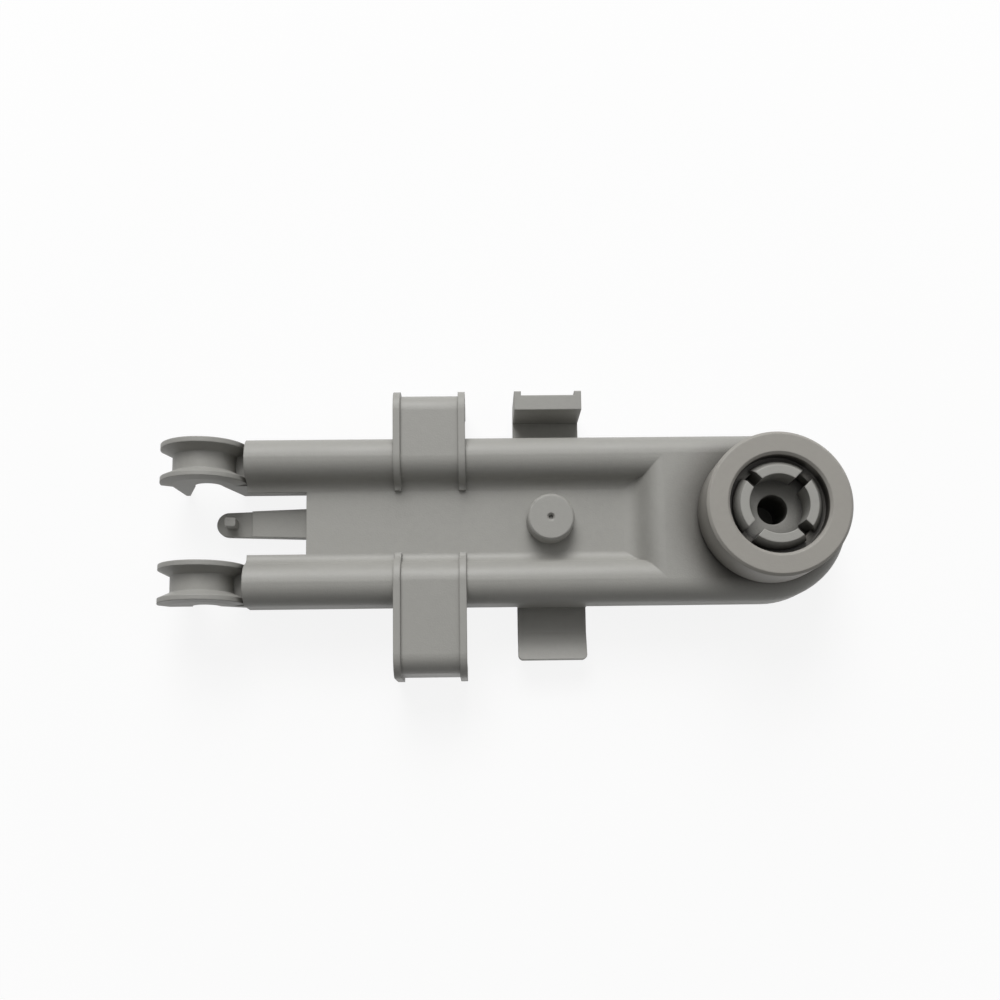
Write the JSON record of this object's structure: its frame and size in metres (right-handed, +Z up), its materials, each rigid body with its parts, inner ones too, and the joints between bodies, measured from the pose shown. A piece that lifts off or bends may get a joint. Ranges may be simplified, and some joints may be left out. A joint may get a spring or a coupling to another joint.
{
  "type": "dishwasher basket wheel carrier",
  "caption": "Moulded grey carrier with hooks for a basket's wires and a split snap hub, on which a plain roller wheel turns.",
  "frame": {"origin": "centre of the bottom of the bounding box, with the part lying on its back", "axes": "+X along the rails towards the wheel, +Y across the rails towards the shorter strap hook, +Z up along the wheel's axis"},
  "size_m": [0.138, 0.0578, 0.0253],
  "materials": {
    "carrier_plastic": "fine moulded grain, light grey",
    "wheel_plastic": "smooth moulded grey, slightly warmer than the carrier"
  },
  "bodies": {
    "carrier": {"carrier": "carrier_plastic"},
    "wheel": {"wheel": "wheel_plastic"}
  },
  "joints": [
    {"name": "wheel_spin", "type": "hinge", "parent": "carrier", "child": "wheel", "pos_m": [0.05215, 0.00255, 0.0205], "axis": [0, 0, 1], "continuous": true}
  ]
}
